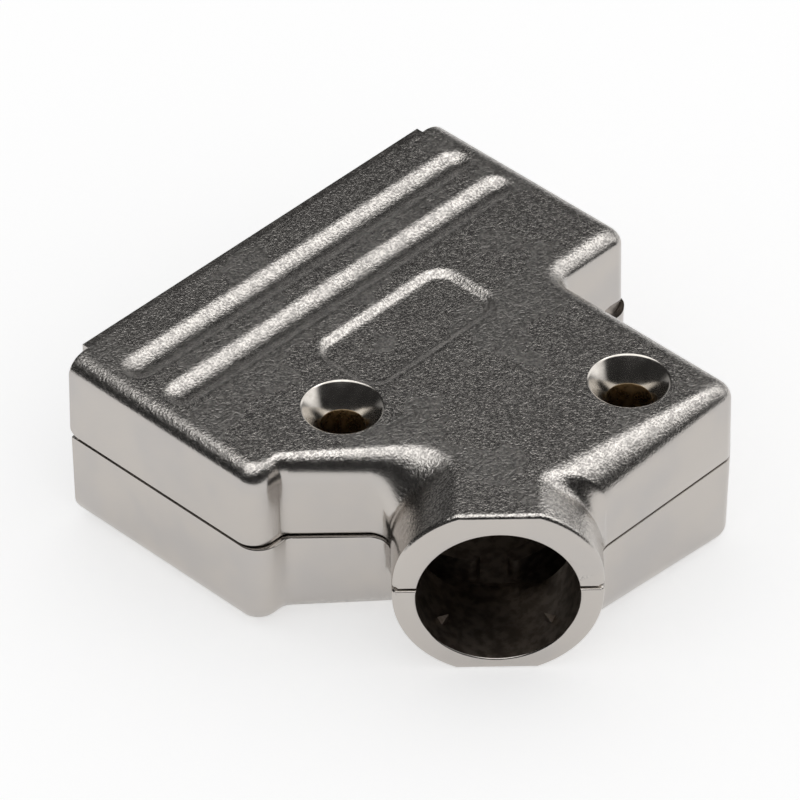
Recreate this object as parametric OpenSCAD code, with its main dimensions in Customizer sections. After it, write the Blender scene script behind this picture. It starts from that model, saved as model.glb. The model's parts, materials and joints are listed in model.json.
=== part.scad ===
// Die-cast metal hood for a 15-way D-sub connector, cable exit at 45 degrees.
// Two castings close round the connector's flange and the cable, and part on a level plane.
// Plan values are measured from the middle of the front edge, and the finished
// part is then moved so that its origin is the middle of its footprint, on the base.

/* [Connector flange] */
// Width of the flange that the front groove holds
flange_w = 39.2; // [36:0.1:44]
// Height of the flange
flange_h = 12.5; // [11.5:0.1:13.5]
// Thickness of the flange
flange_t = 1.3; // [1:0.1:2]
// Clearance round the flange, on each side
flange_clear = 0.1; // [0.05:0.05:0.3]

/* [Castings] */
// Skin beside the ends of the flange
side_skin = 1.2; // [1:0.1:1.6]
// Thickness of the top and bottom plates
plate_t = 1.3; // [1:0.1:2]
// Thickness of the upright walls
wall_t = 1.3; // [1.1:0.1:1.8]
// Height of the parting plane above the base
parting_z = 8; // [7.2:0.1:8.6]
// Daylight between the two rims at the parting plane
parting_gap = 0.16; // [0.05:0.01:0.3]
// Depth of the wide front part
wide_depth = 19.9; // [17:0.1:23]
// Depth of the whole body, without the collar
body_depth = 38.4; // [35:0.1:42]
// Distance of the narrow right wall from the centre line
narrow_x = 13; // [10.5:0.1:15]
// Length of the level step beside the left corner
left_step = 3.1; // [2:0.1:4.5]
// How far the lower casting stands proud along its rear steps
ledge = 0.35; // [0:0.05:0.6]

/* [Cable collar] */
// Turn of the cable exit away from straight back
exit_angle = 45; // [40:1:50]
// Middle of the collar's mouth, to the left of the centre line
collar_x = 11.1; // [9:0.1:13]
// Middle of the collar's mouth, behind the front edge
collar_y = 35.8; // [33:0.1:38]
// Outer radius of the collar
collar_r = 8; // [7.5:0.1:8.6]
// Half width of the flats on top of the collar and under it
collar_flat = 3.1; // [2.6:0.1:4]
// Upright rims of the upper and the lower half of the collar at the parting plane
collar_rim = [0.5, 0.7]; // [0.2:0.1:1]
// Radius of the cable bore
bore_r = 6.2; // [5:0.1:6.6]
// Height of the bore's axis above the base
bore_z = 7.2; // [6.8:0.1:7.8]
// Wall left between the bore's inner end and the outside of the exit wall
exit_wall = 1; // [0.8:0.1:1.6]

/* [Edge slopes] */
// Inset and fall of the left and right top edges
side_round = [1.7, 1.4]; // [0.8:0.1:2.2]
// Inset and fall of the top edge along the right step and the narrow right wall
step_round = [1.8, 1.5]; // [0.8:0.1:2.2]
// Inset of the exit wall's top edge at the corner and at the collar
exit_inset = [1.3, 2.3]; // [0.8:0.1:3]
// Fall of the exit wall's top edge
exit_drop = 2.4; // [1:0.1:2.8]
// Inset of the rear wall's top edge at the collar and at the corner
rear_inset = [3.9, 1.4]; // [1:0.1:4.2]
// Fall of the rear wall's top edge at the collar and at the corner
rear_drop = [2.8, 1.5]; // [1:0.1:3]
// Rounding of the edges under the base
base_round = 1.8; // [0.5:0.1:2]
// Rounding under the exit wall at the corner and at the collar
base_exit_round = [2, 2.7]; // [0.8:0.1:3]
// Rounding under the rear wall at the collar and at the corner
base_rear_round = [2.9, 1]; // [0.6:0.1:3.2]
// Lean of the upright walls, from the parting plane to the edge
draft = 0.12; // [0:0.02:0.3]

/* [Plan corners] */
// Radius of the left and the right outer corner behind the wide part
wide_corner_r = [1.9, 1.4]; // [1:0.1:3]
// Radius of the rear right corner
rear_corner_r = 1.4; // [1:0.1:3]
// Radius of the inside corners at the steps
step_corner_r = 1; // [0.6:0.1:1.6]
// Radius of the inside corners between the collar and the walls
collar_blend_r = 1.7; // [1:0.1:2.4]
// Radius of the same corners up at the top plate, on the exit wall's side
neck_blend_r = 3.4; // [2:0.1:4.5]
// Radius of the same corners up at the top plate, on the rear wall's side
rear_neck_r = 2.4; // [1.5:0.1:3.2]
// Radius of the wide part's corners at the level faces
wide_top_r = 0.8; // [0.4:0.1:1.4]
// Radius of the corner at the start of the exit wall at the level faces
turn_top_r = 2; // [1:0.1:2.6]
// Radius of the rear right corner at the level faces
rear_top_r = 1; // [0.4:0.1:1.6]

/* [Assembly screws] */
// Middle of the left screw hole
left_screw = [-10.1, -18.6]; // [-40:0.1:0]
// Middle of the right screw hole
right_screw = [7.2, -32.2]; // [-40:0.1:20]
// Radius of the clearance holes
screw_hole_r = 1.7; // [1.55:0.05:1.9]
// Radius of the countersinks at the top face
screw_sink_r = 3.15; // [2.6:0.05:3.3]
// Depth of the countersinks
screw_sink_d = 1.75; // [1.3:0.05:1.9]
// Radius of the tapped holes
screw_tap_r = 1.25; // [1.1:0.05:1.4]
// Radius of the bosses round the screws
boss_r = 3.4; // [3.1:0.1:3.6]
// Metal under the blind end of the tapped holes
tap_floor = 1.5; // [1:0.1:3]

/* [Front lips] */
// Half length of the lips that hook over the flange
lip_half = 18.55; // [15:0.05:19.3]
// Thickness of the lips, front to back
lip_t = 0.9; // [0.7:0.1:1.4]
// Thickness of the ribs behind the flange, front to back
back_rib_t = 1.2; // [0.8:0.1:2]
// How far the lips and the ribs reach over the flange
lip_reach = 1; // [0.6:0.1:1.4]
// Rounding of the side walls' front corners at the parting plane and at the base
front_round = [1.1, 1.5]; // [0.5:0.1:2]
// How far the side walls reach in front of the flange's face
wall_front = 0.3; // [0:0.1:0.6]
// How far the lower side walls stop behind the upper ones
front_setback = 0.3; // [0:0.1:0.6]

/* [Seam] */
// Thickness of the locating tongue on the lower rim
tongue_t = 0.55; // [0.4:0.05:0.65]
// Height of the locating tongue above the parting plane
tongue_h = 0.8; // [0.4:0.1:1.2]
// Clearance of the tongue in its rebate
tongue_clear = 0.1; // [0.05:0.05:0.15]
// Length of the prising slot in the right step
prise_l = 3.6; // [2.4:0.1:5]
// Depth of the prising slot in each rim
prise_d = 0.55; // [0.2:0.05:0.9]
// How far the prising slot reaches in from the step
prise_in = 0.6; // [0.4:0.1:1.2]
// Distance of the prising slot's middle from the right wall
prise_x = 1.9; // [1.5:0.1:3]

/* [Top recesses] */
// Width of the two long flutes
flute_w = 2.85; // [2:0.05:3.4]
// Depth of the flutes
flute_d = 0.45; // [0.2:0.05:0.7]
// Distance of the first flute's middle from the front edge
flute_y = 4.15; // [3:0.05:5]
// Distance between the flutes
flute_pitch = 4.55; // [4:0.05:5]
// Bare margin from the ends of the flutes to the side walls
flute_margin = 2.1; // [1.8:0.1:4]
// Length and width of the shallow panel
panel_size = [14.8, 7.3]; // [6:0.1:16]
// Middle of the panel
panel_mid = [0.2, -15.55]; // [-20:0.05:4]
// Depth of the panel
panel_d = 0.35; // [0.15:0.05:0.6]
// Corner radius of the panel
panel_r = 2.1; // [1:0.1:3]

/* [Cable grip] */
// Height of the two grip points above the bore
spike_h = 0.8; // [0.4:0.1:1.2]
// Radius of the grip points' square feet
spike_foot_r = 0.6; // [0.4:0.05:0.9]
// Angle of the grip points to either side of the bore's lowest line
spike_angle = 42; // [25:1:60]
// Distance of the grip points from the collar's mouth
spike_in = 2.7; // [1.5:0.1:4]
// Thickness of the ribs that reach from the bosses towards the cable
rib_t = 1.3; // [0.8:0.1:1.8]
// Height of these ribs above the base
rib_z = 3.3; // [2.2:0.1:4.5]
// Clear way left between the two ribs
rib_way = 3.4; // [2.5:0.1:6]
// Distance of the ribs' tips from the collar's mouth
rib_in = 9.2; // [8.5:0.1:11]

/* [Hidden] */

cast_grey = [0.62, 0.59, 0.56];
cast_dark = [0.52, 0.5, 0.48];
bore_fn = 72;
arc_steps = 5;
blend_steps = 10;
profile_steps = 8;
over = 0.05;
spike_root = 0.2;
side_over = 2;
fan_front = 3.2;

body_w = flange_w + 2 * (flange_clear + side_skin);
body_h = flange_h + 2 * (flange_clear + plate_t);
half_w = body_w / 2;
rim_z = parting_z + parting_gap;
upper_h = body_h - rim_z;
ceiling_z = body_h - plate_t;
pocket_half = flange_w / 2 + flange_clear;
pocket_back = -flange_t - 2 * flange_clear;
space_front = pocket_back - back_rib_t;
sink_slope = (screw_sink_r - screw_hole_r) / screw_sink_d;
lower_front = wall_front - front_setback;

// Unit vectors out of the collar's mouth and across it, and the mouth's middle
exit_dir = [-sin(exit_angle), -cos(exit_angle)];
exit_across = [cos(exit_angle), -sin(exit_angle)];
mouth = [-collar_x, -collar_y];

// Point on the collar's axis from which the whole outline can be seen: the level faces fan out from it
fan_y = -wide_depth + fan_front;
fan_hub = mouth + (fan_y - mouth[1]) / exit_dir[1] * exit_dir;

// The part's lowest point in plan is the right end of the mouth
plan_rear = (mouth + collar_r * exit_across)[1];
plan_mid = (lip_t + plan_rear) / 2;

function unit(v) = v / norm(v);
function smooth(t) = t * t * (3 - 2 * t);
function blend(a, b, t) = a + (b - a) * t;

// Normal to the left of the line from a to b, which points into an anticlockwise outline
function inward(a, b) = let (d = unit(b - a)) [-d[1], d[0]];

// Point that lies at distance da inside one line and db inside the other, both through p
function inset_point(p, na, nb, da, db) =
    let (det = na[0] * nb[1] - na[1] * nb[0])
    p + [da * nb[1] - db * na[1], db * na[0] - da * nb[0]] / det;

// Arc of steps + 1 points that rounds the corner p between its neighbours a and b
function corner_arc(a, p, b, r, steps) =
    let (
        da = unit(a - p),
        db = unit(b - p),
        half = acos(da * db) / 2,
        mid = p + unit(da + db) * r / sin(half),
        from = p + da * r / tan(half) - mid,
        to = p + db * r / tan(half) - mid,
        a0 = atan2(from[1], from[0]),
        turn = atan2(from[0] * to[1] - from[1] * to[0], from * to)
    )
    r == 0 ? [p]
    : [for (i = [0:steps]) mid + r * [cos(a0 + turn * i / steps), sin(a0 + turn * i / steps)]];

// Corners of the body in plan at the parting plane, anticlockwise from the front left.
// out is how far the rear steps stand proud.
function plan_corners(out) =
    let (
        step_y = -wide_depth - out,
        turn_pt = [-half_w + left_step, step_y],
        left_end = mouth - collar_r * exit_across,
        right_end = mouth + collar_r * exit_across,
        left_run = (left_end - turn_pt) * exit_dir,
        right_run = (right_end[1] + body_depth) / exit_dir[1]
    )
    [
        [-half_w, wall_front],
        [-half_w, step_y],
        turn_pt,
        left_end - left_run * exit_dir,
        left_end,
        right_end,
        right_end - right_run * exit_dir,
        [narrow_x, -body_depth],
        [narrow_x, step_y],
        [half_w, step_y],
        [half_w, wall_front]
    ];

wall_r = [
    0, wide_corner_r[0], step_corner_r, collar_blend_r, 0, 0,
    collar_blend_r, rear_corner_r, step_corner_r, wide_corner_r[1], 0
];
corner_steps = [
    0, arc_steps, arc_steps, blend_steps, 0, 0,
    blend_steps, arc_steps, arc_steps, arc_steps, 0
];

// Edge of each corner on the side it is reached from and on the side it is left by:
// [inset, fall, arc]. arc is the last angle of the edge's curve, which is level at 90.
function collar_edge(h) = [collar_r - collar_flat, h, acos(collar_flat / collar_r)];
level = 90;
side_edge = concat(side_round, level);
step_edge = concat(step_round, level);
front_edge = [0, side_round[1], level];
exit_edge = [for (in = exit_inset) [in, exit_drop, level]];
rear_edge = [for (i = [0, 1]) [rear_inset[i], rear_drop[i], level]];
upper_collar = collar_edge(upper_h - collar_rim[0]);
mouth_edge = [0, upper_collar[1], upper_collar[2]];
upper_edges = [
    [front_edge, side_edge],
    [side_edge, exit_edge[0]],
    [exit_edge[0], exit_edge[0]],
    [exit_edge[1], upper_collar],
    [upper_collar, mouth_edge],
    [mouth_edge, upper_collar],
    [upper_collar, rear_edge[0]],
    [rear_edge[1], step_edge],
    [step_edge, step_edge],
    [step_edge, side_edge],
    [side_edge, front_edge]
];
upper_top_r = [
    0, wide_top_r, turn_top_r, neck_blend_r, 0, 0,
    rear_neck_r, rear_top_r, step_corner_r + step_round[0], wide_top_r, 0
];

function round_edge(r) = [r, r, level];
base_edge = round_edge(base_round);
base_exit = [for (r = base_exit_round) round_edge(r)];
base_rear = [for (r = base_rear_round) round_edge(r)];
base_front = [0, base_round, level];
base_collar = collar_edge(parting_z - collar_rim[1]);
base_mouth = [0, base_collar[1], base_collar[2]];
lower_edges = [
    [base_front, base_edge],
    [base_edge, base_exit[0]],
    [base_exit[0], base_exit[0]],
    [base_exit[1], base_collar],
    [base_collar, base_mouth],
    [base_mouth, base_collar],
    [base_collar, base_rear[0]],
    [base_rear[1], base_edge],
    [base_edge, base_edge],
    [base_edge, base_edge],
    [base_edge, base_front]
];
lower_top_r = [
    0, wide_top_r, turn_top_r, neck_blend_r, 0, 0,
    rear_neck_r, rear_top_r, step_corner_r + base_round, wide_top_r, 0
];

// One upright section: plan points at the foot and at the top, then the edge's fall and arc
function section(foot, top, fall, arc) = [foot, top, fall, arc];

// Sections round one corner; the edge turns smoothly from one side's shape to the other's
function corner_sections(feet, tops, edges, steps) =
    [for (i = [0:steps])
        let (t = smooth(i / max(1, steps)))
        section(feet[i], tops[i], blend(edges[0][1], edges[1][1], t), blend(edges[0][2], edges[1][2], t))];

function all_sections(corners, edges, top_r) =
    let (
        n = len(corners),
        tops = [for (i = [0:n - 1])
            let (
                p = corners[i],
                na = inward(corners[(i + n - 1) % n], p),
                nb = inward(p, corners[(i + 1) % n])
            )
            inset_point(p, na, nb, edges[i][0][0], edges[i][1][0])],
        rounds = [for (i = [0:n - 1])
            let (a = (i + n - 1) % n, b = (i + 1) % n)
            corner_sections(
                corner_arc(corners[a], corners[i], corners[b], wall_r[i], corner_steps[i]),
                corner_arc(tops[a], tops[i], tops[b], top_r[i], corner_steps[i]),
                edges[i], corner_steps[i])]
    )
    [for (r = rounds) each r];

// Solid that stands on the parting plane: an upright wall, then an edge that curves in
module cast_form(corners, edges, top_r, h) {
    sections = all_sections(corners, edges, top_r);
    n = len(sections);
    rows = profile_steps + 2;
    points = [for (s = sections) each
        let (span = norm(s[1] - s[0]), way = span > 0 ? (s[1] - s[0]) / span : [0, 0],
             lean = min(draft, span / 4) * (h - s[2]) / h)
        [for (k = [0:rows - 1])
            let (
                a = s[3] * max(0, k - 1) / profile_steps,
                in = k == 0 ? 0 : lean + (span - lean) * (1 - cos(a)) / (1 - cos(s[3])),
                z = k == 0 ? 0 : h - s[2] + s[2] * sin(a) / sin(s[3])
            )
            [s[0][0] + way[0] * in, s[0][1] + way[1] * in, z]]];
    sides = [for (i = [0:n - 1], k = [0:rows - 2])
        let (a = i * rows + k, b = (i + 1) % n * rows + k)
        each [[a, a + 1, b], [a + 1, b + 1, b]]];
    ends = [for (i = [0:n - 1])
        let (a = i * rows, b = (i + 1) % n * rows)
        each [[a, b, n * rows], [b + rows - 1, a + rows - 1, n * rows + 1]]];
    hubs = [concat(fan_hub, 0), concat(fan_hub, h)];
    polyhedron(points = concat(points, hubs), faces = concat(sides, ends));
}

// Outline of the wiring space, t inside the outer walls, with its front at the given place
module space_outline(t, front) {
    outer = plan_corners(ledge);
    exit_in = exit_wall - wall_t + t;
    turn_n = inward(outer[2], outer[3]);
    rear_n = inward(outer[6], outer[7]);
    along = (-body_depth - outer[2][1]) / (outer[3] - outer[2])[1];
    exit_end = outer[2] + along * (outer[3] - outer[2]);
    x = half_w - t;
    step_y = -wide_depth + t;
    corners = [
        [-x, front],
        [-x, step_y],
        inset_point([outer[2][0], -wide_depth], [0, 1], turn_n, t, exit_in),
        inset_point(exit_end, turn_n, rear_n, exit_in, t),
        [narrow_x - t, -body_depth + t],
        [narrow_x - t, step_y],
        [x, step_y],
        [x, front]
    ];
    r = concat(
        [0, wide_corner_r[0] - t, step_corner_r + t, 1],
        [rear_corner_r - t, step_corner_r + t, wide_corner_r[1] - t, 0]);
    n = len(corners);
    polygon([for (i = [0:n - 1])
        each corner_arc(corners[(i + n - 1) % n], corners[i], corners[(i + 1) % n], max(0, r[i]), 4)]);
}

// Runs a profile drawn in the plane of Y and Z across the part, centred
module across_part(w) {
    rotate([90, 0, 90]) linear_extrude(w, center = true) children();
}

// Room for the flange, the ribs' mouth behind it and the wiring space
module inside(floor_z, roof_z, mouth_floor_z, mouth_roof_z) {
    across_part(2 * pocket_half)
    translate([pocket_back, floor_z])
    square([1 - pocket_back, roof_z - floor_z]);

    across_part(2 * (half_w - wall_t))
    translate([space_front - 1, mouth_floor_z])
    square([1 - space_front, mouth_roof_z - mouth_floor_z]);

    translate([0, 0, floor_z])
    linear_extrude(roof_z - floor_z)
    space_outline(wall_t, space_front);
}

// Hooked lip over the front of the flange, drawn for the upper casting
module front_lip(plate_z) {
    across_part(2 * lip_half)
    polygon([
        [-1, plate_z],
        [0, plate_z],
        [0, plate_z - lip_reach],
        [lip_t, plate_z - lip_reach],
        [lip_t, plate_z + plate_t],
        [-1, plate_z + plate_t]
    ]);
}

// What a rounding of radius r takes off the lower front corner of both side walls, at front y and height z
module front_corners(r, y, z) {
    for (side = [-1, 1])
    translate([side * (lip_half + side_over), 0, 0])
    across_part(2 * side_over)
    translate([y, z])
    difference() {
        translate([-r, -over]) square([r + 1 + over, r + over]);
        translate([-r, r]) circle(r, $fn = bore_fn);
    }
}

module at_screws() {
    for (p = [left_screw, right_screw]) translate(p) children();
}

module cable_bore(depth) {
    translate([mouth[0], mouth[1], bore_z])
    rotate([0, 0, -exit_angle])
    rotate([-90, 0, 0])
    translate([0, 0, -1])
    cylinder(r = bore_r, h = depth + 1, $fn = bore_fn);
}

// Distance from the collar's mouth to the inner end of the bore
bore_len = (mouth - plan_corners(ledge)[3]) * exit_dir + exit_wall;

// Low arched slot along the rims at the right step; up is 1 in the upper rim, -1 in the lower
module prising_slot(z, up) {
    r = (prise_l * prise_l / 4 + prise_d * prise_d) / (2 * prise_d);
    translate([half_w - prise_x, -wide_depth + prise_in, z + up * (prise_d - r)])
    rotate([90, 0, 0])
    cylinder(r = r, h = prise_in + 1, $fn = 96);
}

// Shallow flute across the top, with ends like the bowl of a spoon
module flute(y) {
    r = (flute_w * flute_w / 4 + flute_d * flute_d) / (2 * flute_d);
    x = half_w - flute_margin - flute_w / 2;
    translate([0, y, body_h - flute_d + r]) {
        rotate([0, 90, 0]) cylinder(r = r, h = 2 * x, center = true, $fn = bore_fn);
        for (side = [-1, 1]) translate([side * x, 0, 0]) rotate([0, 90, 0]) sphere(r, $fn = bore_fn);
    }
}

module panel() {
    inner = panel_size / 2 - [panel_r, panel_r];
    translate([panel_mid[0], panel_mid[1], body_h - panel_d])
    linear_extrude(1)
    union() {
        square([2 * inner[0], panel_size[1]], center = true);
        square([panel_size[0], 2 * inner[1]], center = true);
        for (x = [-1, 1], y = [-1, 1])
            translate([x * inner[0], y * inner[1]]) circle(panel_r, $fn = 48);
    }
}

module on_plan() {
    translate([0, -plan_mid, 0]) children();
}

module upper_shell() {
    color(cast_grey)
    on_plan()
    difference() {
        union() {
            difference() {
                translate([0, 0, rim_z]) cast_form(plan_corners(0), upper_edges, upper_top_r, upper_h);
                inside(rim_z - 1, ceiling_z, rim_z - 1, ceiling_z - lip_reach);
                translate([0, 0, rim_z - 1])
                linear_extrude(parting_z + tongue_h + tongue_clear - rim_z + 1)
                space_outline(wall_t - tongue_t - tongue_clear, space_front);
                front_corners(front_round[0], wall_front, rim_z);
                prising_slot(rim_z, 1);
            }
            at_screws() translate([0, 0, parting_z])
            cylinder(r = boss_r, h = ceiling_z - parting_z + over, $fn = bore_fn);
            front_lip(ceiling_z);
        }
        cable_bore(bore_len + 1);
        at_screws() {
            translate([0, 0, parting_z - 1]) cylinder(r = screw_hole_r, h = upper_h + 2, $fn = bore_fn);
            translate([0, 0, body_h - screw_sink_d])
            cylinder(r1 = screw_hole_r, r2 = screw_sink_r + sink_slope, h = screw_sink_d + 1, $fn = bore_fn);
        }
        for (i = [0, 1]) flute(-flute_y - i * flute_pitch);
        panel();
    }
}

// Rib that stands on the floor between a boss and a tip beside the cable's way
module grip_rib(screw, side) {
    tip = mouth - rib_in * exit_dir + side * rib_way / 2 * exit_across;
    run = tip - screw;
    translate([screw[0], screw[1], plate_t - over])
    rotate([0, 0, atan2(run[1], run[0])]) {
        translate([0, -rib_t / 2, 0]) cube([norm(run), rib_t, rib_z - plate_t + over]);
        translate([norm(run), 0, 0]) cylinder(r = rib_t / 2, h = rib_z - plate_t + over, $fn = 24);
    }
}

// Four-sided point on the bore's wall, aimed at its axis
module spike(side) {
    translate([mouth[0], mouth[1], bore_z])
    rotate([0, 0, -exit_angle])
    translate([0, spike_in, 0])
    rotate([0, 180 - side * spike_angle, 0])
    translate([0, 0, bore_r + spike_root])
    mirror([0, 0, 1])
    cylinder(r1 = spike_foot_r, r2 = 0, h = spike_h + spike_root, $fn = 4);
}

module lower_shell() {
    color(cast_dark)
    on_plan()
    difference() {
        union() {
            difference() {
                translate([0, 0, parting_z])
                mirror([0, 0, 1])
                cast_form(plan_corners(ledge), lower_edges, lower_top_r, parting_z);
                inside(plate_t, parting_z + 1, plate_t + lip_reach, parting_z + 1);
                for (side = [-1, 1])
                    translate([side * (lip_half + side_over), lower_front + side_over, parting_z / 2])
                    cube([2 * side_over, 2 * side_over, parting_z + 1], center = true);
                front_corners(front_round[1], lower_front, 0);
                prising_slot(parting_z, -1);
            }
            at_screws() translate([0, 0, plate_t - over])
            cylinder(r = boss_r, h = parting_z - plate_t + over, $fn = bore_fn);
            mirror([0, 0, 1]) translate([0, 0, -body_h]) front_lip(ceiling_z);
            grip_rib(left_screw, -1);
            grip_rib(right_screw, 1);
            difference() {
                translate([0, 0, parting_z - over])
                linear_extrude(tongue_h + over)
                space_outline(wall_t - tongue_t, space_front - tongue_clear);
                translate([0, 0, parting_z - 1]) linear_extrude(tongue_h + 2) space_outline(wall_t, 1);
                at_screws() translate([0, 0, parting_z - 1])
                cylinder(r = boss_r + tongue_clear, h = tongue_h + 2, $fn = bore_fn);
            }
        }
        cable_bore(bore_len + 1);
        at_screws() translate([0, 0, tap_floor])
        cylinder(r = screw_tap_r, h = parting_z, $fn = bore_fn);
    }
    color(cast_dark)
    on_plan()
    for (side = [-1, 1]) spike(side);
}

upper_shell();
lower_shell();
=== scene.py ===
import json

import bmesh
import bpy
import numpy as np
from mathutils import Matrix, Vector, geometry


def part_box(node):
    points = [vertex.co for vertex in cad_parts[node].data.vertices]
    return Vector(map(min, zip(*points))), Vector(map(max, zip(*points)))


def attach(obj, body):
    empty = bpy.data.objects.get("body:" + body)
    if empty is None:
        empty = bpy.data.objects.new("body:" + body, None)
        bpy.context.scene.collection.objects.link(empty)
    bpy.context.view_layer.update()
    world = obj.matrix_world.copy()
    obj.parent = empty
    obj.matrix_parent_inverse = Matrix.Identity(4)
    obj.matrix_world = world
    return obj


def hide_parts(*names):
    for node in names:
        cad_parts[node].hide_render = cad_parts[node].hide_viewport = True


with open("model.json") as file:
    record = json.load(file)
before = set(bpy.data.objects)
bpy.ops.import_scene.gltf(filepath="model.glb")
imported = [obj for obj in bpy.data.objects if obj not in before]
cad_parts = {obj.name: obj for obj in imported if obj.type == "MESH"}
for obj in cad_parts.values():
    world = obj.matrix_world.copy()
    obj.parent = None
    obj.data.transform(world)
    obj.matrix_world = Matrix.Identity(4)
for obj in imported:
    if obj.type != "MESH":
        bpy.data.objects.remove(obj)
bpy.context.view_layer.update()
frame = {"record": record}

# ---------------------------------------------------------------------------
# Plan of the hood
# Both halves are zinc castings drawn from one plan outline: a wide front that
# holds the connector, a narrow rear, and a round collar turned 45 degrees.
# ---------------------------------------------------------------------------
MM = 0.001
record = frame["record"]
places = {m["name"]: np.array(m["pos_m"]) / MM for m in record["mounts"]}
upper_low, upper_high = (np.array(p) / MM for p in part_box("upper_shell"))

LIP_T = 0.9
SIDE_WALL_T = 1.3
PLATE_T = 1.3
HALF_W = upper_high[0]
FRONT_Y = upper_high[1] - LIP_T
WALL_FRONT = 0.3
STEP_Y = FRONT_Y - 19.9
REAR_Y = FRONT_Y - 38.4
NARROW_X = 13.0
LEFT_STEP = 3.1
LEDGE = 0.35
TOP_Z = upper_high[2]
PARTING_Z = upper_low[2]
RIM_Z = PARTING_Z + 0.16
UPPER_H = TOP_Z - RIM_Z
DRAFT = 0.12

COLLAR_R = 8.0
COLLAR_FLAT = 3.1
MOUTH_ROUND = 0.4
MOUTH = places["cable_entry"][:2]
BORE_Z = places["cable_entry"][2]
BORE_R = 6.2
EXIT_DIR = -np.array([1.0, 1.0]) / np.sqrt(2)
EXIT_ACROSS = np.array([1.0, -1.0]) / np.sqrt(2)


def unit(v):
    return v / np.linalg.norm(v)


def arc_at(before, corner, after, r, steps):
    """Arc that rounds a corner: its centre lies on the bisector at r over the sine of half the
    corner's angle, and it is swept evenly from one tangent point to the other."""
    if steps == 0:
        return corner[None]
    da, db = unit(before - corner), unit(after - corner)
    half = np.arccos(da @ db) / 2
    mid = corner + unit(da + db) * r / np.sin(half)
    start, end = (corner + d * r / np.tan(half) - mid for d in (da, db))
    turn = np.arctan2(start[0] * end[1] - start[1] * end[0], start @ end)
    c, s = np.cos(turn * np.linspace(0, 1, steps + 1)), np.sin(turn * np.linspace(0, 1, steps + 1))
    return mid + np.stack([c * start[0] - s * start[1], s * start[0] + c * start[1]], 1)


def left_of(a, b):
    d = unit(b - a)
    return np.array([-d[1], d[0]])


def inset_corner(p, na, nb, da, db):
    """Point at distance da inside one line and db inside the other, both through p."""
    det = na[0] * nb[1] - na[1] * nb[0]
    return p + np.array([da * nb[1] - db * na[1], db * na[0] - da * nb[0]]) / det


def plan_corners(out):
    """Corners at the parting plane, anticlockwise from the collar's right end round to its left
    end. The rear steps stand proud by out, and the collar stops short of the mouth's rounding."""
    stop = MOUTH - MOUTH_ROUND * EXIT_DIR
    left_end, right_end = stop - COLLAR_R * EXIT_ACROSS, stop + COLLAR_R * EXIT_ACROSS
    turn = np.array([-HALF_W + LEFT_STEP, STEP_Y - out])
    left_run = (left_end - turn) @ EXIT_DIR
    right_run = (right_end[1] - REAR_Y) / EXIT_DIR[1]
    return np.array([
        right_end,
        right_end - right_run * EXIT_DIR,
        [NARROW_X, REAR_Y],
        [NARROW_X, STEP_Y - out],
        [HALF_W, STEP_Y - out],
        [HALF_W, FRONT_Y + WALL_FRONT],
        [-HALF_W, FRONT_Y + WALL_FRONT],
        [-HALF_W, STEP_Y - out],
        turn,
        left_end - left_run * EXIT_DIR,
        left_end,
    ])


WALL_R = [0, 1.7, 1.4, 1.0, 1.4, 0.25, 0.25, 1.9, 1.0, 1.7, 0]
CORNER_STEPS = [0, 24, 14, 12, 14, 4, 4, 14, 14, 24, 0]
EDGE_ROWS, RIM_ROWS, MOUTH_ROWS, BRIDGE_STEPS = 20, 4, 8, 14
NET_PITCH = 0.24
RIM_TURN = (4, 3)
SEAM_ROUND = 0.15


def wall_sections(out, edges, top_r):
    """Foot and top of the skin at each place round the plan, with the edge's fall, last angle and
    first angle there. An edge is (inset, fall, last angle, first angle), and each corner has one on
    either side, between which it turns with a smoothstep."""
    corners = plan_corners(out)
    n = len(corners)
    feet, tops, shape = [], [], []
    for i, (before, after) in enumerate(edges):
        a, b = corners[i - 1], corners[(i + 1) % n]
        feet.append(arc_at(a, corners[i], b, WALL_R[i], CORNER_STEPS[i]))
        t = np.linspace(0, 1, CORNER_STEPS[i] + 1)[:, None]
        t = t * t * (3 - 2 * t)
        shape.append(np.array(before[1:]) * (1 - t) + np.array(after[1:]) * t)
    inner = np.array([
        inset_corner(corners[i], left_of(corners[i - 1], corners[i]),
                     left_of(corners[i], corners[(i + 1) % n]), edges[i][0][0], edges[i][1][0])
        for i in range(n)])
    for i in range(n):
        tops.append(arc_at(inner[i - 1], inner[i], inner[(i + 1) % n], top_r[i], CORNER_STEPS[i]))
    return np.concatenate(feet), np.concatenate(tops), np.concatenate(shape)


def skin_grid(feet, tops, shape, height, rim_r):
    """Grid of the outer skin over (section, row). Up from the parting plane come a quarter round of
    radius rim_r, an upright wall that leans in by the draft, and the edge: inset grows with
    cos(first angle) - cos a and height with sin a, for a from the first to the last angle."""
    fall, last, first = (np.radians(shape[:, k, None]) if k else shape[:, :1] for k in range(3))
    run = tops - feet
    span = np.linalg.norm(run, axis=1)[:, None]
    t = np.linspace(0, np.pi / 2, RIM_ROWS)[None]
    rim = rim_r[:, None]
    lean = np.minimum(DRAFT, span / 4) * (height - fall) / height
    a = first + (last - first) * np.linspace(0, 1, EDGE_ROWS)[None]
    inset = np.hstack([
        rim * (1 - np.sin(t)),
        lean + (span - lean) * (np.cos(first) - np.cos(a)) / (np.cos(first) - np.cos(last))])
    z = np.hstack([
        rim * (1 - np.cos(t)),
        height - fall + fall * (np.sin(a) - np.sin(first)) / (np.sin(last) - np.sin(first))])
    xy = feet[:, None] + (run / span)[:, None] * inset[..., None]
    return np.dstack([xy, z])


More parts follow.
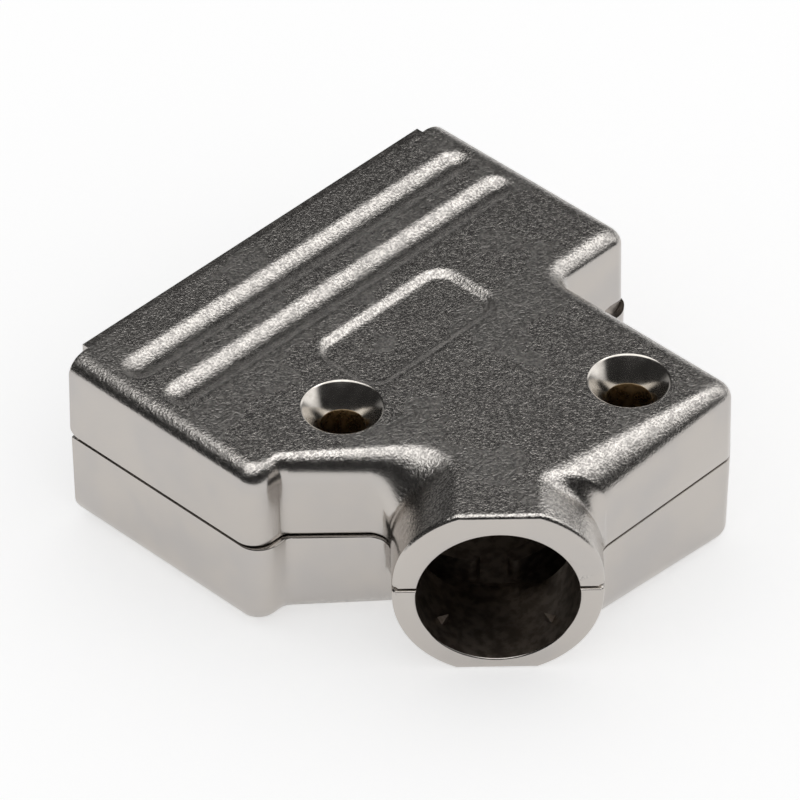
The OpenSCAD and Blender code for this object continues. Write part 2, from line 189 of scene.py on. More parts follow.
def in_outline(points, outline):
    """Whether each point lies inside: a ray to its right crosses the outline an odd number of times."""
    a, b = outline, np.roll(outline, -1, 0)
    y = points[:, 1, None]
    crosses = (a[:, 1] > y) != (b[:, 1] > y)
    rise = np.where(b[:, 1] == a[:, 1], 1, b[:, 1] - a[:, 1])
    at_x = a[:, 0] + (y - a[:, 1]) / rise * (b[:, 0] - a[:, 0])
    return (crosses & (at_x > points[:, 0, None])).sum(1) % 2 == 1


def to_outline(points, outline):
    """Distance of each point from the nearest side of the outline."""
    a = outline
    d = np.roll(outline, -1, 0) - a
    w = points[:, None] - a
    t = np.clip((w * d).sum(2) / np.maximum((d * d).sum(1), 1e-12), 0, 1)
    return np.linalg.norm(w - t[..., None] * d, axis=2).min(1)


def face_net(outline, pitch, relief):
    """Level face with an even net of points inside its outline, joined by Delaunay triangles; each
    point sinks by relief(x, y)."""
    low, high = outline.min(0), outline.max(0)
    x, y = np.meshgrid(np.arange(low[0], high[0], pitch), np.arange(low[1], high[1], pitch))
    x = x + pitch / 2 * (np.arange(len(x))[:, None] % 2)
    grid = np.stack([x.ravel(), y.ravel()], 1)
    grid = grid[in_outline(grid, outline)]
    grid = grid[to_outline(grid, outline) > pitch * 0.45]
    points = np.concatenate([outline, grid])
    out = geometry.delaunay_2d_cdt(
        [Vector(p) for p in points], [], [list(range(len(outline)))], 1, 1e-7)
    flat = np.array([tuple(p) for p in out[0]])
    return np.column_stack([flat, -relief(flat)]), np.array([list(f) for f in out[2]])


def strips(n_u, n_v, closed_u):
    """Four-sided faces of a grid of n_u by n_v points, with the points of one u in a row."""
    u = np.arange(n_u if closed_u else n_u - 1)[:, None]
    v = np.arange(n_v - 1)[None]
    a, b = u * n_v + v, (u + 1) % n_u * n_v + v
    return np.stack([a, a + 1, b + 1, b], -1).reshape(-1, 4)[:, ::-1]


def mouth_ring(loop):
    """Rounded edge of the collar's mouth: the collar's closed end outline in (across, height) moves
    inwards by r(1 - cos t) as it goes out by r sin t, for t from 0 to 90 degrees. Where the half
    meets the other half, r is small."""
    ahead, behind = np.roll(loop, -1, 0) - loop, loop - np.roll(loop, 1, 0)
    ahead, behind = (d / np.maximum(np.linalg.norm(d, axis=1), 1e-9)[:, None] for d in (ahead, behind))
    way = ahead + behind
    way = way / np.linalg.norm(way, axis=1)[:, None]
    normal = np.column_stack([-way[:, 1], way[:, 0]])
    lift = 1 / np.sqrt((1 + (ahead * behind).sum(1)) / 2)
    r = np.where(loop[:, 1] < 1e-6, SEAM_ROUND, MOUTH_ROUND) * lift
    t = np.linspace(0, np.pi / 2, MOUTH_ROWS)[None]
    flat = loop[:, None] + normal[:, None] * (r[:, None] * (1 - np.cos(t)))[..., None]
    out = np.broadcast_to(MOUTH_ROUND * np.sin(t), flat.shape[:2])
    stop = MOUTH - MOUTH_ROUND * EXIT_DIR
    xy = stop + flat[..., :1] * EXIT_ACROSS + out[..., None] * EXIT_DIR
    return np.dstack([xy, flat[..., 1]])


def merged(points, faces, name="cutter"):
    """Closed mesh from lists of point arrays and face arrays; like points are joined."""
    mesh = bpy.data.meshes.new(name)
    starts = np.cumsum([0] + [len(p) for p in points[:-1]])
    every = [[int(i) + int(s) for i in f] for s, fs in zip(starts, faces) for f in fs]
    mesh.from_pydata(np.concatenate(points) * MM, [], every)
    bm = bmesh.new()
    bm.from_mesh(mesh)
    bmesh.ops.remove_doubles(bm, verts=bm.verts, dist=1e-7)
    bmesh.ops.dissolve_degenerate(bm, edges=bm.edges, dist=1e-7)
    bmesh.ops.recalc_face_normals(bm, faces=bm.faces)
    bm.to_mesh(mesh)
    bm.free()
    obj = bpy.data.objects.new(name, mesh)
    bpy.context.scene.collection.objects.link(obj)
    return obj


def casting(name, out, edges, top_r, height, rim, collar_rim, relief, base_z, up):
    """Solid outer form of one half: the skin, the level face, the parting face and the mouth. It
    stands on the parting plane at base_z and is turned over where up is -1. Its rim's rounding
    passes from rim to collar_rim along the collar."""
    feet, tops, shape = wall_sections(out, edges, top_r)
    along = (feet - MOUTH) @ EXIT_DIR
    near = np.clip((along + RIM_TURN[0]) / RIM_TURN[1], 0, 1)
    rim_r = rim + (collar_rim - rim) * near * near * (3 - 2 * near)
    grid = skin_grid(feet, tops, shape, height, rim_r)
    n_sections, n_rows = grid.shape[:2]
    across = np.array([*EXIT_ACROSS, 0])
    right, left = grid[0], grid[-1]
    bridge = np.linspace(0, 1, BRIDGE_STEPS + 1)[1:-1, None]
    top_bridge = left[-1] + (right[-1] - left[-1]) * bridge
    foot_bridge = left[0] + (right[0] - left[0]) * bridge
    top_loop = np.concatenate([grid[:, -1, :2], top_bridge[:, :2]])
    face, face_tris = face_net(top_loop, NET_PITCH, relief)
    face[:, 2] += height
    foot_loop = np.concatenate([grid[:, 0], foot_bridge])
    loop = np.concatenate([right, top_bridge[::-1], left[::-1], foot_bridge])
    flat = np.column_stack([(loop[:, :2] - MOUTH) @ EXIT_ACROSS, loop[:, 2]])
    ring = mouth_ring(flat)
    n_loop, n_round = ring.shape[:2]
    obj = merged(
        [grid.reshape(-1, 3), face, foot_loop, ring.reshape(-1, 3)],
        [strips(n_sections, n_rows, False), face_tris, [range(len(foot_loop))],
         np.concatenate([strips(n_loop, n_round, True)]).tolist()
         + [[i * n_round + n_round - 1 for i in range(n_loop)]]],
        name)
    co = np.zeros(len(obj.data.vertices) * 3, np.float32)
    obj.data.vertices.foreach_get("co", co)
    co = co.reshape(-1, 3)
    co[:, 2] = base_z * MM + up * co[:, 2]
    obj.data.vertices.foreach_set("co", co.ravel())
    if up < 0:
        obj.data.flip_normals()
    obj.data.update()
    return obj


def prism(outline, low, high):
    """Upright solid on a plan outline, from height low to height high."""
    n = len(outline)
    points = [np.column_stack([outline, np.full(n, z)]) for z in (low, high)]
    i = np.arange(n)
    sides = np.stack([i, (i + 1) % n, n + (i + 1) % n, n + i], 1)
    return merged([np.concatenate(points)], [sides.tolist() + [list(range(n)), list(range(n, 2 * n))]])


def rectangle(x0, x1, y0, y1):
    return np.array([[x0, y0], [x1, y0], [x1, y1], [x0, y1]])


def circle(centre, r, steps=96):
    t = np.linspace(0, 2 * np.pi, steps, endpoint=False)
    return np.asarray(centre) + r * np.column_stack([np.cos(t), np.sin(t)])


def turned(profile, origin, axis, steps=128):
    """Solid of revolution: the profile (distance along the axis, radius) is swept round the axis,
    and its two ends are closed by flat discs."""
    axis = unit(np.asarray(axis, float))
    side = unit(np.cross(axis, [0.0, 0.0, 1.0]) if abs(axis[2]) < 0.9 else np.array([1.0, 0.0, 0.0]))
    other = np.cross(axis, side)
    t = np.linspace(0, 2 * np.pi, steps, endpoint=False)[:, None, None]
    s, r = profile[None, :, :1], profile[None, :, 1:]
    grid = origin + s * axis + r * (np.cos(t) * side + np.sin(t) * other)
    n = len(profile)
    caps = [[i * n for i in range(steps)], [i * n + n - 1 for i in range(steps)]]
    return merged([grid.reshape(-1, 3)], [strips(steps, n, True).tolist() + caps])


def shaped(base, steps):
    """The base solid after each (operation, solid) step, worked out in one go; the steps' solids go."""
    for operation, tool in steps:
        change = base.modifiers.new(operation, "BOOLEAN")
        change.operation, change.object, change.solver = operation, tool, "MANIFOLD"
    bpy.context.view_layer.update()
    seen = base.evaluated_get(bpy.context.evaluated_depsgraph_get())
    mesh = bpy.data.meshes.new_from_object(seen)
    base.modifiers.clear()
    base.data = mesh
    for tool in {tool for _, tool in steps}:
        bpy.data.objects.remove(tool)
    return base


EXIT_WALL_LESS = 0.3


def hollow_outline(t, front):
    """Outline of the wiring space: the body's walls moved in by t, and the exit wall run straight on
    to the rear wall."""
    outer = plan_corners(LEDGE)
    turn, exit_foot = outer[8], outer[9]
    exit_n, rear_n = left_of(turn, exit_foot), left_of(outer[1], outer[2])
    end = turn + (REAR_Y - turn[1]) / (exit_foot - turn)[1] * (exit_foot - turn)
    exit_t = t - EXIT_WALL_LESS
    corners = np.array([
        [-HALF_W + t, front],
        [-HALF_W + t, STEP_Y + t],
        inset_corner(np.array([turn[0], STEP_Y]), np.array([0.0, 1.0]), exit_n, t, exit_t),
        inset_corner(end, exit_n, rear_n, exit_t, t),
        [NARROW_X - t, REAR_Y + t],
        [NARROW_X - t, STEP_Y + t],
        [HALF_W - t, STEP_Y + t],
        [HALF_W - t, front],
    ])
    radii = [0, WALL_R[7] - t, WALL_R[8] + t, 1.0, WALL_R[2] - t, WALL_R[3] + t, WALL_R[4] - t, 0]
    n = len(corners)
    return np.concatenate([
        arc_at(corners[i - 1], corners[i], corners[(i + 1) % n], r, 8 if r > 0 else 0)
        for i, r in enumerate(radii)])


# ---------------------------------------------------------------------------
# Upper half
# Die-cast zinc, nickel plated. Its level face and the upper part of its edges
# are shot blasted before plating; two flutes and a panel are sunk into it.
# ---------------------------------------------------------------------------
FLUTE_W, FLUTE_D, FLUTE_Y, FLUTE_PITCH, FLUTE_MARGIN = 2.95, 0.42, 4.15, 4.55, 2.1
PANEL_SIZE, PANEL_MID, PANEL_R, PANEL_D, PANEL_EDGE = (14.8, 7.3), (0.2, 15.55), 2.1, 0.35, 0.75
FRONT_ROUND = (1.1, 1.5)
FRONT_SETBACK = 0.3
LOWER_FRONT = FRONT_Y + WALL_FRONT - FRONT_SETBACK
LIP_HALF, LIP_REACH = 18.55, 1.0
BACK_RIB_T = 1.2
GROOVE_INSET, GROOVE_H = 0.65, 0.9
SLOT_W, SLOT_H, SLOT_IN, SLOT_RUN = 3.6, 0.55, (1.9, 1.4), 2.0
WELD = 0.05
UPPER_RIMS = (0.12, 0.45)
POCKET_BACK = FRONT_Y - 1.5
POCKET_HALF = 19.7
SPACE_FRONT = POCKET_BACK - BACK_RIB_T
CEILING_Z = TOP_Z - PLATE_T


def smooth(t):
    t = np.clip(t, 0, 1)
    return t * t * (3 - 2 * t)


def top_relief(flat):
    """Depth of the flutes and of the panel. A flute sinks by (1 - u squared) to the power 1.4, where u
    is the distance from its line over its half width; the panel's edge is a smoothstep."""
    depth = np.zeros(len(flat))
    x_end = HALF_W - FLUTE_MARGIN - FLUTE_W / 2
    for i in range(2):
        dx = np.maximum(np.abs(flat[:, 0]) - x_end, 0)
        u = np.hypot(dx, flat[:, 1] - (FRONT_Y - FLUTE_Y - i * FLUTE_PITCH)) / (FLUTE_W / 2)
        depth += FLUTE_D * np.clip(1 - u * u, 0, 1) ** 1.4
    q = np.abs(flat - [PANEL_MID[0], FRONT_Y - PANEL_MID[1]]) - np.array(PANEL_SIZE) / 2 + PANEL_R
    outside = np.hypot(*np.maximum(q, 0).T) + np.minimum(q.max(1), 0) - PANEL_R
    return depth + PANEL_D * smooth(-outside / PANEL_EDGE)


def collar_edge(height, rim):
    return (COLLAR_R - COLLAR_FLAT, height - rim, np.degrees(np.arccos(COLLAR_FLAT / COLLAR_R)), 0)


side = (1.7, 1.4, 90, 0)
step = (1.8, 1.5, 90, 0)
front = (0.0, 1.4, 90, 0)
exit_corner, exit_collar = (1.3, 2.4, 90, 0), (2.3, 2.4, 90, 0)
rear_collar, rear_corner = (3.9, 2.8, 90, 14), (1.4, 1.5, 90, 8)
collar = collar_edge(UPPER_H, 0.5)
mouth = (0.0, collar[1], collar[2], 0)
upper_edges = [
    (mouth, collar), (collar, rear_collar), (rear_corner, step), (step, step), (step, side),
    (side, front), (front, side), (side, exit_corner), (exit_corner, exit_corner),
    (exit_collar, collar), (collar, mouth)]
upper_top_r = [0, 2.4, 1.0, 2.8, 0.8, 0.3, 0.3, 0.8, 2.0, 3.4, 0]

upper = casting("upper_casting", 0.0, upper_edges, upper_top_r, UPPER_H, *UPPER_RIMS,
                top_relief, RIM_Z, 1)


def across(y0, y1, z0, z1, half):
    return prism(rectangle(-half, half, y0, y1), z0, z1)


def edge_cutter(r, y, z):
    """What a rounding of radius r takes off the front lower corner at (y, z), all across the hood."""
    t = np.linspace(0, np.pi / 2, 17)
    arc = np.column_stack([y - r + r * np.sin(t), z + r - r * np.cos(t)])
    yz = np.concatenate([arc, [[y + 1, z + r], [y + 1, z - 1], [y - r, z - 1]]])
    n = len(yz)
    points = np.concatenate([np.column_stack([np.full(n, x), yz]) for x in (-HALF_W - 1, HALF_W + 1)])
    i = np.arange(n)
    sides = np.stack([i, (i + 1) % n, n + (i + 1) % n, n + i], 1)
    return merged([points], [sides.tolist() + [list(range(n)), list(range(n, 2 * n))]])


def bore_cutter():
    """Round cable bore with a small rounding at the mouth."""
    f, t = 0.16, np.linspace(0, np.pi / 2, 7)
    depth = (plan_corners(LEDGE)[9] - MOUTH) @ -EXIT_DIR + 2
    profile = np.column_stack([
        np.concatenate([[-1, 0], f * (1 - np.cos(t[1:])), [depth]]),
        np.concatenate([[BORE_R + f, BORE_R + f], BORE_R + f * (1 - np.sin(t[1:])), [BORE_R]])])
    return turned(profile, np.array([*MOUTH, BORE_Z]), [*(-EXIT_DIR), 0])


SCREWS = [places["left_screw_hole"][:2], places["right_screw_hole"][:2]]
SCREW_R, SINK_R, SINK_D, BOSS_R = 1.7, 3.15, 1.75, 3.4


def countersink(centre):
    """Clearance hole and its cone, whose rim at the level face is eased by a small arc."""
    f = 0.1
    cone = np.array([[PARTING_Z - 1, SCREW_R], [TOP_Z - SINK_D - 0.04, SCREW_R],
                     [TOP_Z - SINK_D + 0.04, SCREW_R + 0.04],
                     [TOP_Z - f, SINK_R - f], [TOP_Z - f * 0.35, SINK_R - f * 0.2],
                     [TOP_Z - f * 0.05, SINK_R + f * 0.5], [TOP_Z + 1, SINK_R + f * 0.6]])
    return turned(cone, np.array([*centre, 0]), [0, 0, 1])


def prising_slot(z, up):
    """Low arched slot along the rim at the right step: an arc SLOT_W wide and SLOT_H high."""
    r = (SLOT_W ** 2 / 4 + SLOT_H ** 2) / (2 * SLOT_H)
    origin = np.array([HALF_W - SLOT_IN[0], STEP_Y - SLOT_IN[1], z + up * (SLOT_H - r)])
    return turned(np.array([[0.0, r], [SLOT_RUN, r]]), origin, [0, 1, 0])


def pockets(floor, roof, mouth_floor, mouth_roof):
    """Flange pocket, the opening behind it and the wiring space, as three solids."""
    return [
        across(POCKET_BACK, FRONT_Y + 1, floor, roof, POCKET_HALF),
        across(SPACE_FRONT - 1, FRONT_Y + 1, mouth_floor, mouth_roof, HALF_W - SIDE_WALL_T),
        prism(hollow_outline(SIDE_WALL_T, SPACE_FRONT), floor, roof)]


steps = [("DIFFERENCE", p) for p in pockets(RIM_Z - 1, CEILING_Z, RIM_Z - 1, CEILING_Z - LIP_REACH)]
steps += [
    ("DIFFERENCE", prism(hollow_outline(GROOVE_INSET, SPACE_FRONT), RIM_Z - 1, PARTING_Z + GROOVE_H)),
    ("DIFFERENCE", edge_cutter(FRONT_ROUND[0], FRONT_Y + WALL_FRONT, RIM_Z)),
    ("DIFFERENCE", prising_slot(RIM_Z, 1))]
steps += [("UNION", prism(circle(c, BOSS_R), PARTING_Z, CEILING_Z + WELD)) for c in SCREWS]
steps += [
    ("UNION", across(FRONT_Y - 1, upper_high[1], CEILING_Z, TOP_Z - 0.001, LIP_HALF)),
    ("UNION", across(FRONT_Y, upper_high[1], CEILING_Z - LIP_REACH, CEILING_Z + 0.1, LIP_HALF)),
    ("DIFFERENCE", bore_cutter())]
steps += [("DIFFERENCE", countersink(c)) for c in SCREWS]
shaped(upper, steps)


# ---------------------------------------------------------------------------
# Lower half
# The other zinc casting. It carries the tapped bosses, the tongue that keys the
# halves, the ribs beside the cable and the two points that bite its sheath.
# ---------------------------------------------------------------------------
base_side = (1.8, 1.8, 90, 0)
base_exit = (2.0, 2.0, 90, 0), (2.7, 2.7, 90, 0)
base_rear = (2.9, 2.9, 90, 0), (1.0, 1.0, 90, 0)
base_front = (0.0, 1.8, 90, 0)
base_collar = collar_edge(PARTING_Z, 0.7)
base_mouth = (0.0, base_collar[1], base_collar[2], 0)
lower_edges = [
    (base_mouth, base_collar), (base_collar, base_rear[0]), (base_rear[1], base_side),
    (base_side, base_side), (base_side, base_side), (base_side, base_front),
    (base_front, base_side), (base_side, base_exit[0]), (base_exit[0], base_exit[0]),
    (base_exit[1], base_collar), (base_collar, base_mouth)]
lower_top_r = upper_top_r
LOWER_RIMS = (0.14, 0.25)

lower = casting("lower_casting", LEDGE, lower_edges, lower_top_r, PARTING_Z, *LOWER_RIMS,
                lambda flat: np.zeros(len(flat)), PARTING_Z, -1)

TONGUE_H, TONGUE_INSET, TONGUE_GAP = 0.8, 0.75, 0.1
TAP_R, TAP_FLOOR = 1.25, 1.5
RIB_T, RIB_Z, RIB_WAY, RIB_IN = 1.3, 3.3, 3.4, 9.2
POINT_H, POINT_FOOT_R, POINT_ANGLE, POINT_IN = 0.8, 0.6, 42, 2.7


def grip_rib(screw, hand):
    """Rib from a boss to a round tip beside the cable's way."""
    tip = MOUTH - RIB_IN * EXIT_DIR + hand * RIB_WAY / 2 * EXIT_ACROSS
    way = unit(tip - screw)
    beside = np.array([-way[1], way[0]])
    t = np.linspace(-np.pi / 2, np.pi / 2, 13)[:, None]
    end = tip + RIB_T / 2 * (np.cos(t) * way + np.sin(t) * beside)
    outline = np.concatenate([[screw - RIB_T / 2 * beside], end, [screw + RIB_T / 2 * beside]])
    return prism(outline, PLATE_T - WELD, RIB_Z)


def grip_point(hand):
    """Four-sided point on the bore's wall, aimed at its axis."""
    a = np.radians(POINT_ANGLE)
    inwards = np.array([*(-hand * np.sin(a) * EXIT_ACROSS), np.cos(a)])
    foot = np.array([*(MOUTH - POINT_IN * EXIT_DIR), BORE_Z]) - (BORE_R + 0.2) * inwards
    profile = np.array([[0.0, POINT_FOOT_R], [POINT_H + 0.2, 0.02]])
    return turned(profile, foot, inwards, steps=4)


tongue = shaped(
    prism(hollow_outline(TONGUE_INSET, SPACE_FRONT - TONGUE_GAP), PARTING_Z - WELD, PARTING_Z + TONGUE_H),
    [("DIFFERENCE", prism(hollow_outline(SIDE_WALL_T, SPACE_FRONT + 1), PARTING_Z - 1, PARTING_Z + 2))]
    + [("DIFFERENCE", prism(circle(c, BOSS_R + TONGUE_GAP), PARTING_Z - 1, PARTING_Z + 2))
       for c in SCREWS])

steps = [("DIFFERENCE", p) for p in pockets(PLATE_T, PARTING_Z + 1, PLATE_T + LIP_REACH, PARTING_Z + 1)]
steps += [
    ("DIFFERENCE", prism(rectangle(*sorted((hand * LIP_HALF, hand * (HALF_W + 1))),
                                   LOWER_FRONT, FRONT_Y + 1), -1, PARTING_Z + 1))
    for hand in (-1, 1)]
front_corners = edge_cutter(FRONT_ROUND[1], LOWER_FRONT, 0.0)
steps += [
    ("DIFFERENCE", shaped(front_corners, [
        ("DIFFERENCE", across(FRONT_Y - 5, FRONT_Y + 5, -5, 5, LIP_HALF))])),
    ("DIFFERENCE", prising_slot(PARTING_Z, -1))]
steps += [("UNION", prism(circle(c, BOSS_R), PLATE_T - WELD, PARTING_Z)) for c in SCREWS]
steps += [
    ("UNION", across(FRONT_Y - 1, upper_high[1], 0.001, PLATE_T, LIP_HALF)),
    ("UNION", across(FRONT_Y, upper_high[1], PLATE_T - 0.1, PLATE_T + LIP_REACH, LIP_HALF))]
steps += [("UNION", grip_rib(c, hand)) for c, hand in zip(SCREWS, (-1, 1))]
steps += [("UNION", tongue), ("DIFFERENCE", bore_cutter())]
steps += [("UNION", grip_point(hand)) for hand in (-1, 1)]
steps += [("DIFFERENCE", prism(circle(c, TAP_R), TAP_FLOOR, PARTING_Z + 1)) for c in SCREWS]
shaped(lower, steps)


# ---------------------------------------------------------------------------
# Nickel plate
# Bright nickel over copper on zinc: smooth warm grey on the walls, shot-blasted
# grain on the level faces with painted shade in its dark pits, turned and polished cones, brownish deep
# inside.
# ---------------------------------------------------------------------------
class Value:
    """A shader socket; the operators add Math nodes to its tree."""

    def __init__(self, finish, socket):
        self.finish, self.socket = finish, socket

    def _math(self, operation, *terms):
        return self.finish.node("ShaderNodeMath", {"operation": operation}, *terms)

    def __add__(self, other):
        return self._math("ADD", self, other)

    def __sub__(self, other):
        return self._math("SUBTRACT", self, other)

    def __rsub__(self, other):
        return self._math("SUBTRACT", other, self)

    def __mul__(self, other):
        return self._math("MULTIPLY", self, other)

    __radd__, __rmul__ = __add__, __mul__

    def between(self, low, high):
        """0 below low, 1 above high, and a smoothstep from one to the other."""
        ranged = {"interpolation_type": "SMOOTHSTEP"}
        return self.finish.node("ShaderNodeMapRange", ranged, self, low, high, 0.0, 1.0)


class Finish:
    """The nodes of a material, or of a world, under construction."""

    def __init__(self, owner):
        owner.use_nodes = True
        self.owner, self.tree = owner, owner.node_tree
        self.tree.nodes.clear()

    def node(self, kind, settings=None, *values, out=0, **named):
        """Adds a node: its settings first, then its sockets' values or links, by order or name."""
        made = self.tree.nodes.new(kind)
        for key, value in (settings or {}).items():
            if key == "stops":
                ramp = made.color_ramp.elements
                for i, (at, grey) in enumerate(value):
                    stop = ramp[i] if i < 2 else ramp.new(at)
                    stop.position, stop.color = at, (grey, grey, grey, 1)
            else:
                setattr(made, key, value)
        sockets = {s.name: s for s in made.inputs}
        pairs = list(zip(made.inputs, values))
        pairs += [(sockets[k.replace("_", " ")], v) for k, v in named.items()]
        for socket, value in pairs:
            if isinstance(value, Value):
                self.tree.links.new(value.socket, socket)
            else:
                socket.default_value = value
        return Value(self, made.outputs[out]) if made.outputs else None

    def blend(self, factor, a, b):
        """Colour a turned into b by factor."""
        made = self.tree.nodes.new("ShaderNodeMix")
        made.data_type = "RGBA"
        for socket, value in ((made.inputs[0], factor), (made.inputs[6], a), (made.inputs[7], b)):
            if isinstance(value, Value):
                self.tree.links.new(value.socket, socket)
            else:
                socket.default_value = value
        return Value(self, made.outputs[2])

    def metal(self, colour, roughness, normal):
        shade = self.node("ShaderNodeBsdfPrincipled", {}, Base_Color=colour, Metallic=1.0,
                          Roughness=roughness, Normal=normal)
        self.node("ShaderNodeOutputMaterial", {}, shade)
        return self.owner


def rgb(r, g, b):
    return (r, g, b, 1.0)


def plate_skin():
    """Outer skin. The attribute "blasted" says how far the shot blasting reaches."""
    f = Finish(bpy.data.materials.new("nickel_plate"))
    at = f.node("ShaderNodeTexCoord", out=3)
    blasted = f.node("ShaderNodeAttribute", {"attribute_name": "blasted"}, out=2)
    fine = f.node("ShaderNodeTexNoise", {}, Vector=at, Scale=5200.0, Detail=2.0, Roughness=0.6)
    coarse = f.node("ShaderNodeTexNoise", {}, Vector=at, Scale=1700.0, Detail=2.0, Roughness=0.5)
    cloud = f.node("ShaderNodeTexNoise", {}, Vector=at, Scale=170.0, Detail=3.0, Roughness=0.5)
    grain = fine * 0.7 + coarse * 0.3
    reach = (blasted + (coarse - 0.5) * 0.5 * blasted * (1.0 - blasted) * 4.0)
    colour = f.blend(cloud.between(0.35, 0.7), rgb(0.54, 0.505, 0.47), rgb(0.50, 0.475, 0.455))
    # Grain colour of the blasted face. Its dark end sits well below the walls' grey and is painted shade
    # for the self-shadowing of the pits; the light end is the grain's own tone.
    grain_and_pit_shade = f.blend(grain.between(0.38, 0.62), rgb(0.30, 0.285, 0.27), rgb(0.62, 0.59, 0.555))
    colour = f.blend(reach, colour, grain_and_pit_shade)
    rough = 0.15 + cloud * 0.08 + reach * 0.08
    soft = f.node("ShaderNodeBump", {}, Strength=0.25, Distance=0.00002, Height=cloud)
    bump = f.node("ShaderNodeBump", {}, Strength=reach * 0.9, Distance=0.00007, Height=grain, Normal=soft)
    return f.metal(colour, rough, bump)


def plain_metal(name, dark, light, roughness, scale):
    f = Finish(bpy.data.materials.new(name))
    at = f.node("ShaderNodeTexCoord", out=3)
    noise = f.node("ShaderNodeTexNoise", {}, Vector=at, Scale=scale, Detail=3.0, Roughness=0.55)
    bump = f.node("ShaderNodeBump", {}, Strength=0.3, Distance=0.00002, Height=noise)
    return f.metal(f.blend(noise.between(0.35, 0.65), dark, light), roughness + noise * 0.12, bump)


skin = plate_skin()
cone = plain_metal("polished_cone", rgb(0.50, 0.47, 0.43), rgb(0.62, 0.585, 0.54), 0.10, 900.0)
strike = plain_metal("copper_strike", rgb(0.22, 0.165, 0.10), rgb(0.46, 0.37, 0.25), 0.22, 1500.0)
inside = plain_metal("plate_inside", rgb(0.16, 0.13, 0.105), rgb(0.30, 0.255, 0.215), 0.42, 1200.0)


BLAST_FROM, BLAST_WHOLE = 12, 50


def dress(casting, up):
    """Gives each face its finish by where it lies, and marks the blasted skin: it starts where the
    surface leans BLAST_FROM degrees from upright and is whole at BLAST_WHOLE."""
    mesh = casting.data
    mesh.materials.clear()
    for m in (skin, cone, strike, inside):
        mesh.materials.append(m)
    n = len(mesh.polygons)
    centre, normal = np.zeros(n * 3, np.float32), np.zeros(n * 3, np.float32)
    mesh.polygons.foreach_get("center", centre)
    mesh.polygons.foreach_get("normal", normal)
    centre, normal = centre.reshape(-1, 3) / MM, normal.reshape(-1, 3)
    index = np.zeros(n, np.int32)
    screw_d = np.min([np.hypot(*(centre[:, :2] - c).T) for c in SCREWS], 0)
    along = (centre[:, :2] - MOUTH) @ EXIT_DIR
    beside = (centre[:, :2] - MOUTH) @ EXIT_ACROSS
    bore_d = np.hypot(beside, centre[:, 2] - BORE_Z)
    in_bore = (bore_d < BORE_R + 0.02) & (along < -0.1) & (along > -10)
    under = in_outline(centre[:, :2], hollow_outline(1.0, SPACE_FRONT - 0.5))
    deep = under & (centre[:, 2] < CEILING_Z + 0.02) & (centre[:, 2] > PLATE_T - 0.02)
    index[in_bore | deep] = 3
    index[(screw_d < SCREW_R + 0.02) & (centre[:, 2] > 1.0)] = 2
    index[(screw_d > SCREW_R - 0.02) & (screw_d < SINK_R + 0.02) & (normal[:, 2] > 0.3)
          & (centre[:, 2] < TOP_Z - 0.01) & (centre[:, 2] > CEILING_Z - 0.3)] = 1
    mesh.polygons.foreach_set("material_index", index)
    count = len(mesh.vertices)
    lean = np.zeros(count * 3, np.float32)
    mesh.vertices.foreach_get("normal", lean)
    lean = np.degrees(np.arcsin(np.clip(up * lean.reshape(-1, 3)[:, 2], -1, 1)))
    mark = mesh.attributes.new("blasted", "FLOAT", "POINT")
    reach = smooth((lean - BLAST_FROM) / (BLAST_WHOLE - BLAST_FROM))
    mark.data.foreach_set("value", reach.astype(np.float32))
    mesh.shade_smooth()
    mesh.set_sharp_from_angle(angle=np.radians(28))
    mesh.update()


dress(upper, 1)
dress(lower, -1)
for piece, node in ((upper, "upper_shell"), (lower, "lower_shell")):
    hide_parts(node)
    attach(piece, "root")


# ---------------------------------------------------------------------------
# Table, light and camera
# A pale table, a large soft box overhead, a second one low on the right, and a
# dark room round them. The camera looks down on the cable exit.
# ---------------------------------------------------------------------------
def seen_or_mirrored(f):
    """1 for what the camera sees, straight or in metal and glass."""
    camera, glossy, through = (f.node("ShaderNodeLightPath", out=i) for i in (0, 3, 6))
    return f.node("ShaderNodeMath", {"operation": "MAXIMUM"},
                  f.node("ShaderNodeMath", {"operation": "MAXIMUM"}, camera, glossy), through)


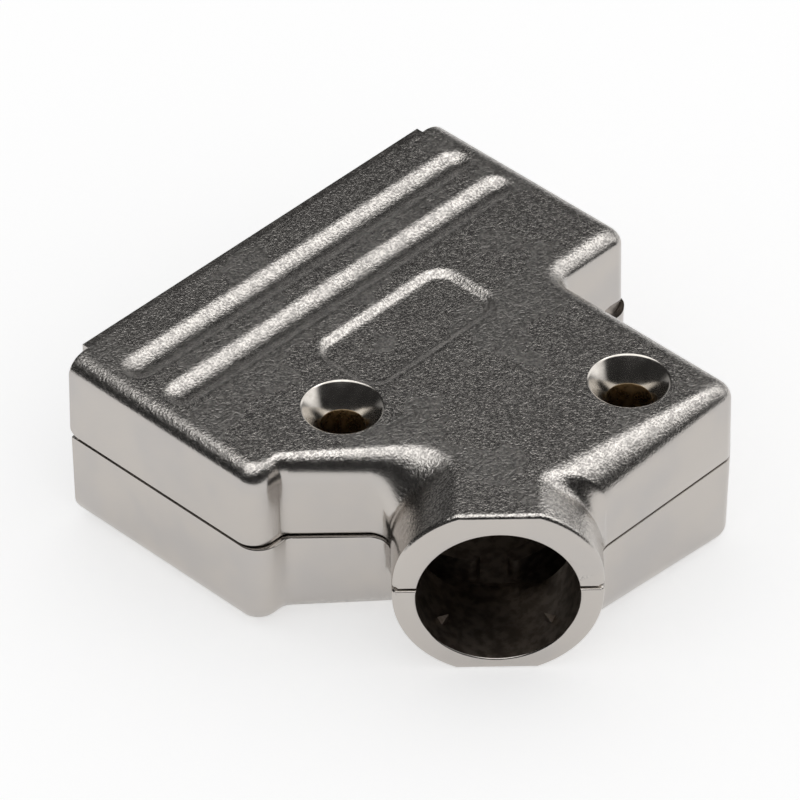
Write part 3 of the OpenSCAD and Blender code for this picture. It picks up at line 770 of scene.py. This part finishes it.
def table():
    mesh = bpy.data.meshes.new("table")
    mesh.from_pydata([(-3, -3, 0), (3, -3, 0), (3, 3, 0), (-3, 3, 0)], [], [(0, 1, 2, 3)])
    f = Finish(bpy.data.materials.new("table"))
    matt = f.node("ShaderNodeBsdfDiffuse", {}, Color=rgb(0.9, 0.9, 0.9))
    glow = f.node("ShaderNodeEmission", {}, Color=rgb(1, 1, 1), Strength=seen_or_mirrored(f) * 0.5)
    both = f.node("ShaderNodeAddShader", {}, matt, glow)
    f.node("ShaderNodeOutputMaterial", {}, both)
    mesh.materials.append(f.owner)
    obj = bpy.data.objects.new("table", mesh)
    bpy.context.scene.collection.objects.link(obj)


def studio():
    """World: an even grey lights the table. What metal mirrors is dark, with a bright ceiling that
    fades in from 51 to 64 degrees up, a soft box to the right and a pale low wall on the far side."""
    world = bpy.data.worlds.new("studio")
    bpy.context.scene.world = world
    f = Finish(world)
    way = f.node("ShaderNodeTexCoord", out=0)
    parts = [f.node("ShaderNodeSeparateXYZ", {}, way, out=i) for i in range(3)]
    x, y, z = parts
    ceiling = z.between(0.78, 0.90)
    right = (x * 0.72 + y * -0.30 + z * 0.62).between(0.82, 0.93)
    far = (x * 0.7 + y * 0.7).between(0.3, 0.9) * (1.0 - z.between(0.10, 0.42))
    mirrored = 0.03 + ceiling * 1.8 + right * 1.3 + far * 0.45
    camera = f.node("ShaderNodeLightPath", out=0)
    glossy = f.node("ShaderNodeLightPath", out=3)
    level = 0.55 * (1.0 - glossy) + mirrored * glossy
    level = level * (1.0 - camera) + camera
    back = f.node("ShaderNodeBackground", {}, rgb(1, 1, 1), level)
    f.node("ShaderNodeOutputWorld", {}, back)


table()
studio()

AZIMUTH, ELEVATION, LENS, DISTANCE = np.radians(-46.25), np.radians(40.35), 296.8, 0.4997
LOOK_AT = np.array([-6.5, FRONT_Y - 21.2, TOP_Z]) * MM
back = np.array([
    np.sin(AZIMUTH) * np.cos(ELEVATION), -np.cos(AZIMUTH) * np.cos(ELEVATION), np.sin(ELEVATION)])
eye = bpy.data.cameras.new("camera")
eye.lens, eye.sensor_width, eye.clip_start, eye.clip_end = LENS, 36.0, 0.01, 20.0
camera = bpy.data.objects.new("camera", eye)
bpy.context.scene.collection.objects.link(camera)
camera.location = Vector(LOOK_AT + back * DISTANCE)
camera.rotation_euler = Vector(-back).to_track_quat("-Z", "Y").to_euler()
bpy.context.scene.camera = camera

view = bpy.context.scene.view_settings
view.view_transform = "Standard"
